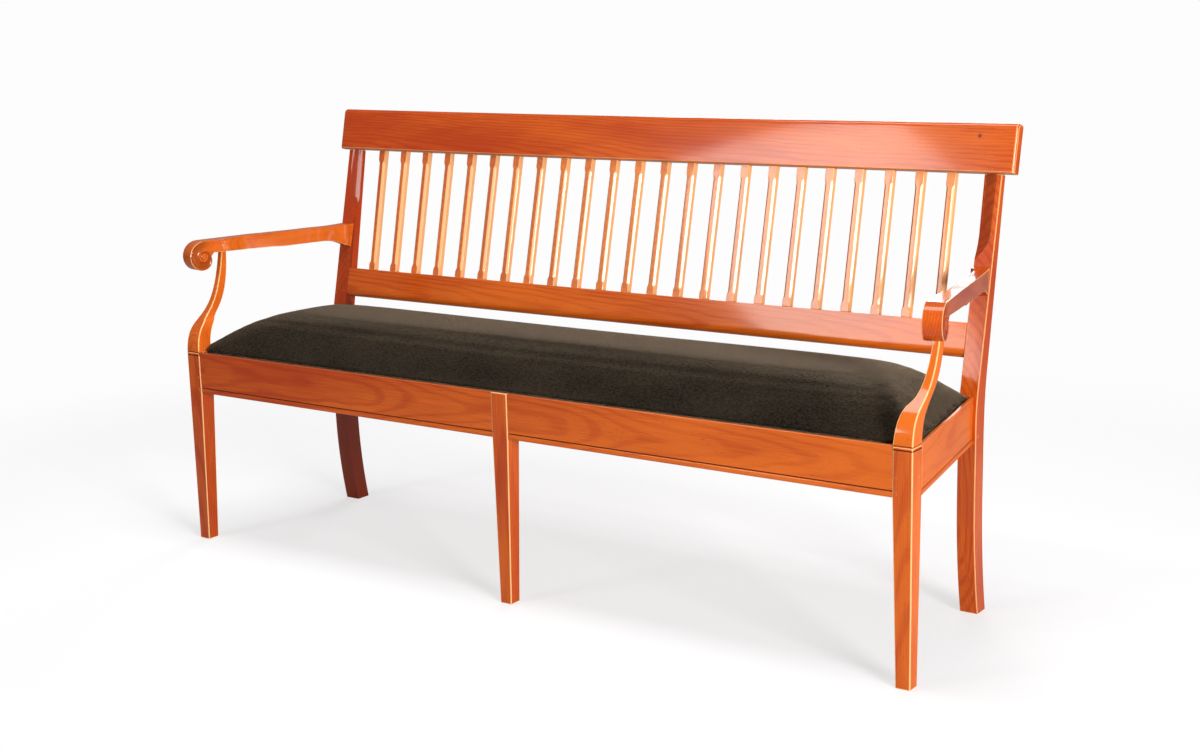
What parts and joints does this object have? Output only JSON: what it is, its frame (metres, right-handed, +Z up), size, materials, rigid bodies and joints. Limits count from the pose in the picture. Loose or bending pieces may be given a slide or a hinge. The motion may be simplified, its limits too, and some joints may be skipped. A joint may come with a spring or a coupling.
{
  "type": "deacons bench",
  "caption": "Long cherry bench with a bowed crest rail over slim slats, scrolled open arms, square tapered legs and a crowned drop-in cushion.",
  "frame": {"origin": "middle of the bench's bounding box in plan, on the floor", "axes": "+X along the bench, to the right as seen from the front; +Y from the front to the back; +Z up"},
  "size_m": [1.8288, 0.546, 0.9333],
  "materials": {
    "cherry": "satin",
    "plywood": "matte",
    "velvet": "matte",
    "steel": "satin"
  },
  "bodies": {
    "root": {"front_leg_left": "cherry", "front_leg_right": "cherry", "front_leg_middle": "cherry", "back_post_left": "cherry", "back_post_right": "cherry", "front_rail_left": "cherry", "front_rail_right": "cherry", "side_rail_left": "cherry", "side_rail_right": "cherry", "back_seat_rail": "cherry", "lower_back_rail": "cherry", "crest_rail": "cherry", "slat_01": "cherry", "slat_02": "cherry", "slat_03": "cherry", "slat_04": "cherry", "slat_05": "cherry", "slat_06": "cherry", "slat_07": "cherry", "slat_08": "cherry", "slat_09": "cherry", "slat_10": "cherry", "slat_11": "cherry", "slat_12": "cherry", "slat_13": "cherry", "slat_14": "cherry", "slat_15": "cherry", "slat_16": "cherry", "slat_17": "cherry", "slat_18": "cherry", "slat_19": "cherry", "slat_20": "cherry", "slat_21": "cherry", "slat_22": "cherry", "slat_23": "cherry", "arm_left": "cherry", "arm_right": "cherry", "arm_support_left": "cherry", "arm_support_right": "cherry", "corner_block_front_left": "cherry", "corner_block_front_right": "cherry", "corner_block_back_left": "cherry", "corner_block_back_right": "cherry", "cross_bearer_1": "cherry", "cross_bearer_2": "cherry", "cross_bearer_3": "cherry", "crest_peg_left": "cherry", "crest_peg_right": "cherry", "rail_peg_1_left": "cherry", "rail_peg_1_right": "cherry", "rail_peg_2_left": "cherry", "rail_peg_2_right": "cherry", "seat_board": "plywood", "seat_cushion": "velvet", "seat_screw_front_left": "steel", "seat_screw_front_right": "steel", "seat_screw_back_left": "steel", "seat_screw_back_right": "steel"}
  },
  "joints": []
}
